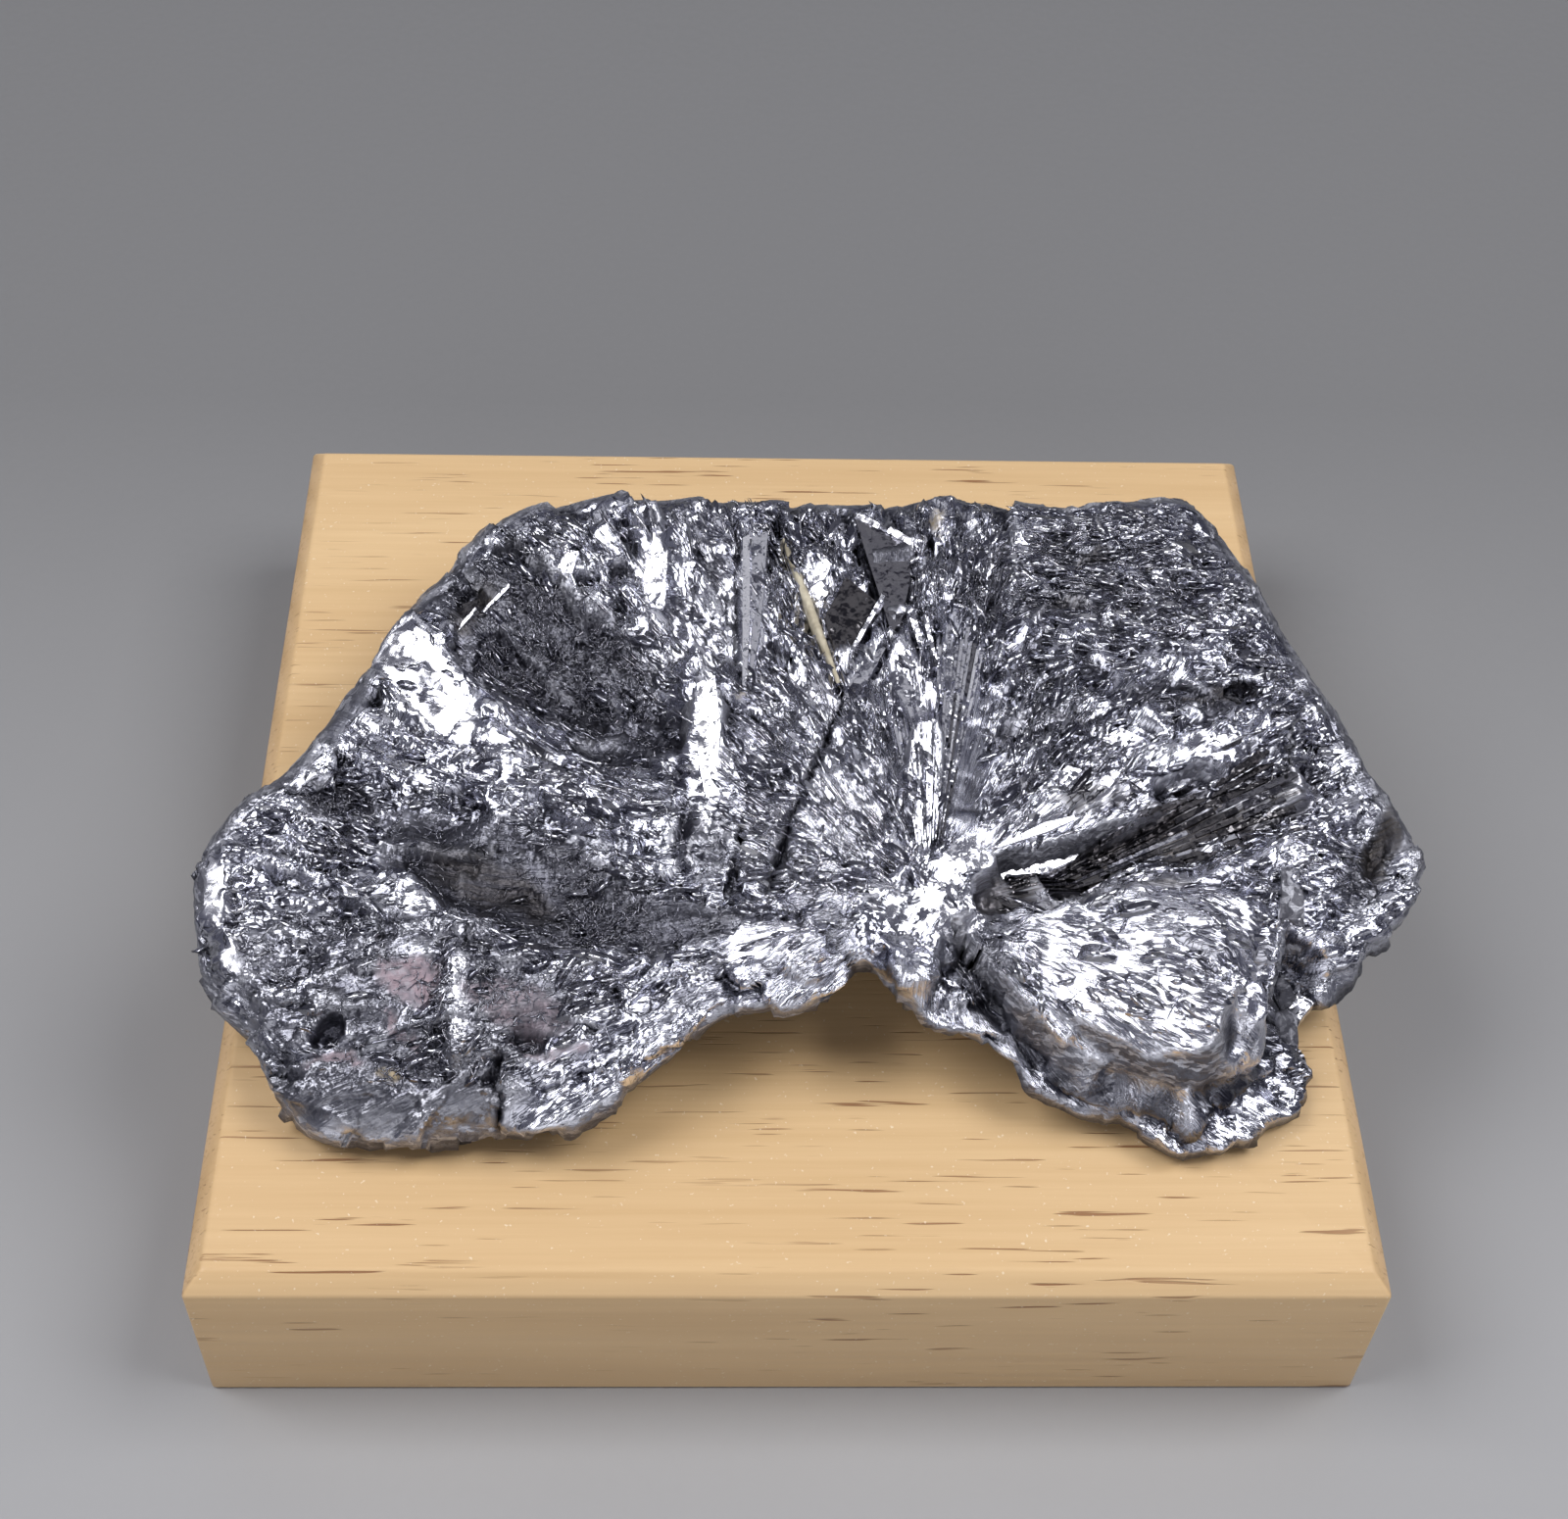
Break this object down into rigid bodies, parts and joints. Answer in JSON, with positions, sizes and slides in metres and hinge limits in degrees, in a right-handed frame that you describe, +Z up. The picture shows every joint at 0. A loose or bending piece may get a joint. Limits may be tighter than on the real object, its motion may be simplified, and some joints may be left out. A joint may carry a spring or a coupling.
{
  "type": "molybdenite specimen on a wooden block",
  "caption": "Broken mass of silvery foliated molybdenite, arched between its front lobes, resting on a square chamfered pine block.",
  "frame": {"origin": "centre of the underside of the wooden block, on the surface it stands on", "axes": "+Z up, +X to the right and +Y to the back, with the two lobes of the specimen and the arch between them at the front (-Y)"},
  "size_m": [0.1127, 0.102, 0.0382],
  "materials": {
    "molybdenite": "bluish lead-grey metallic foliated surface, polished blades among crumpled flakes",
    "quartz": "dull cream stone",
    "pine": "bare planed pale pine with fine brown grain lines"
  },
  "bodies": {
    "root": {"molybdenite_mass": "molybdenite", "quartz_sliver": "quartz", "wood_block": "pine"}
  },
  "joints": []
}
